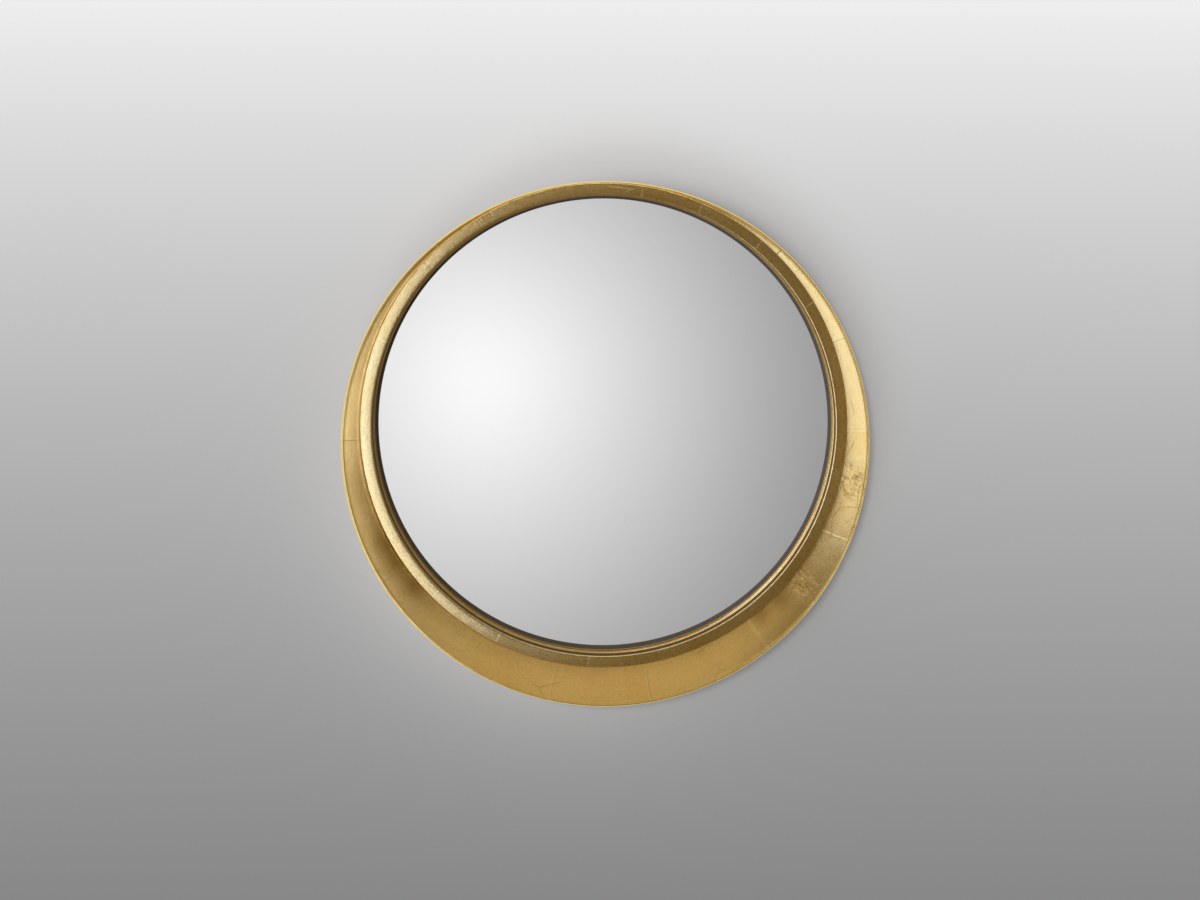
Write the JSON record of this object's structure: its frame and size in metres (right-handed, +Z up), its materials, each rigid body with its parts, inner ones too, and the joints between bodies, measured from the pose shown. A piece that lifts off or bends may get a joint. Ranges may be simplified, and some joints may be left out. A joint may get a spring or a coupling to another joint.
{
  "type": "convex wall mirror",
  "caption": "Round convex mirror in a gilded ring, set off centre in a shallow dish that shows as a crescent below, with a backboard and hanging rings.",
  "frame": {"origin": "on the wall plane, behind the centre of the round dish", "axes": "+Z up, the glass looks along -Y, +Y runs into the wall"},
  "size_m": [0.6, 0.0597, 0.6],
  "materials": {
    "gilt_dish": "water-gilded metal leaf over bole, satin with a low sheen",
    "gilt_ring": "burnished metal leaf, rubbed at the arrises",
    "gilt_slip": "metal leaf, toned brown in the groove",
    "mirror_glass": "silvered convex glass",
    "black_felt": "soft felt strip",
    "cork": "raw cork",
    "grey_foam": "closed-cell foam strip",
    "plywood": "raw birch plywood",
    "hardboard": "raw hardboard",
    "zinc_plate": "zinc-plated sheet",
    "steel_screw": "zinc-plated",
    "brass_plate": "satin brass-plated strip",
    "brass_wire": "satin brass-plated wire",
    "bumper_rubber": "moulded rubber"
  },
  "bodies": {
    "frame": {"crescent_dish": "gilt_dish", "ring_moulding": "gilt_ring", "sight_slip": "gilt_slip", "convex_glass": "mirror_glass", "rebate_felt": "black_felt", "edge_packers": "cork", "foam_ring": "grey_foam", "retaining_ring": "plywood", "backboard": "hardboard", "turn_button_screws": "steel_screw", "ring_screws": "steel_screw", "hanger_screws": "steel_screw", "bumper_screws": "steel_screw", "hanger_strap_right": "brass_plate", "wall_bumper_right": "bumper_rubber", "hanger_strap_left": "brass_plate", "wall_bumper_left": "bumper_rubber"},
    "turn_button_1": {"turn_button_1": "zinc_plate"},
    "turn_button_2": {"turn_button_2": "zinc_plate"},
    "turn_button_3": {"turn_button_3": "zinc_plate"},
    "turn_button_4": {"turn_button_4": "zinc_plate"},
    "turn_button_5": {"turn_button_5": "zinc_plate"},
    "turn_button_6": {"turn_button_6": "zinc_plate"},
    "d_ring_right": {"d_ring_right": "brass_wire"},
    "d_ring_left": {"d_ring_left": "brass_wire"}
  },
  "joints": [
    {"name": "turn_button_1_turn", "type": "hinge", "parent": "frame", "child": "turn_button_1", "pos_m": [0.21788, -0.007, 0.19273], "axis": [0, 1, 0], "range_deg": [0, 90]},
    {"name": "turn_button_2_turn", "type": "hinge", "parent": "frame", "child": "turn_button_2", "pos_m": [0.26708, -0.007, -0.04906], "axis": [0, 1, 0], "range_deg": [0, 90]},
    {"name": "turn_button_3_turn", "type": "hinge", "parent": "frame", "child": "turn_button_3", "pos_m": [0.09457, -0.007, -0.23733], "axis": [0, 1, 0], "range_deg": [0, 90]},
    {"name": "turn_button_4_turn", "type": "hinge", "parent": "frame", "child": "turn_button_4", "pos_m": [-0.21788, -0.007, 0.19273], "axis": [0, -1, 0], "range_deg": [0, 90]},
    {"name": "turn_button_5_turn", "type": "hinge", "parent": "frame", "child": "turn_button_5", "pos_m": [-0.26708, -0.007, -0.04906], "axis": [0, -1, 0], "range_deg": [0, 90]},
    {"name": "turn_button_6_turn", "type": "hinge", "parent": "frame", "child": "turn_button_6", "pos_m": [-0.09457, -0.007, -0.23733], "axis": [0, -1, 0], "range_deg": [0, 90]},
    {"name": "d_ring_right_swing", "type": "hinge", "parent": "frame", "child": "d_ring_right", "pos_m": [0.26503, -0.0055, 0.11696], "axis": [-0.9613, 0, -0.2756], "range_deg": [0, 165]},
    {"name": "d_ring_left_swing", "type": "hinge", "parent": "frame", "child": "d_ring_left", "pos_m": [-0.26503, -0.0055, 0.11696], "axis": [-0.9613, 0, 0.2756], "range_deg": [0, 165]}
  ]
}
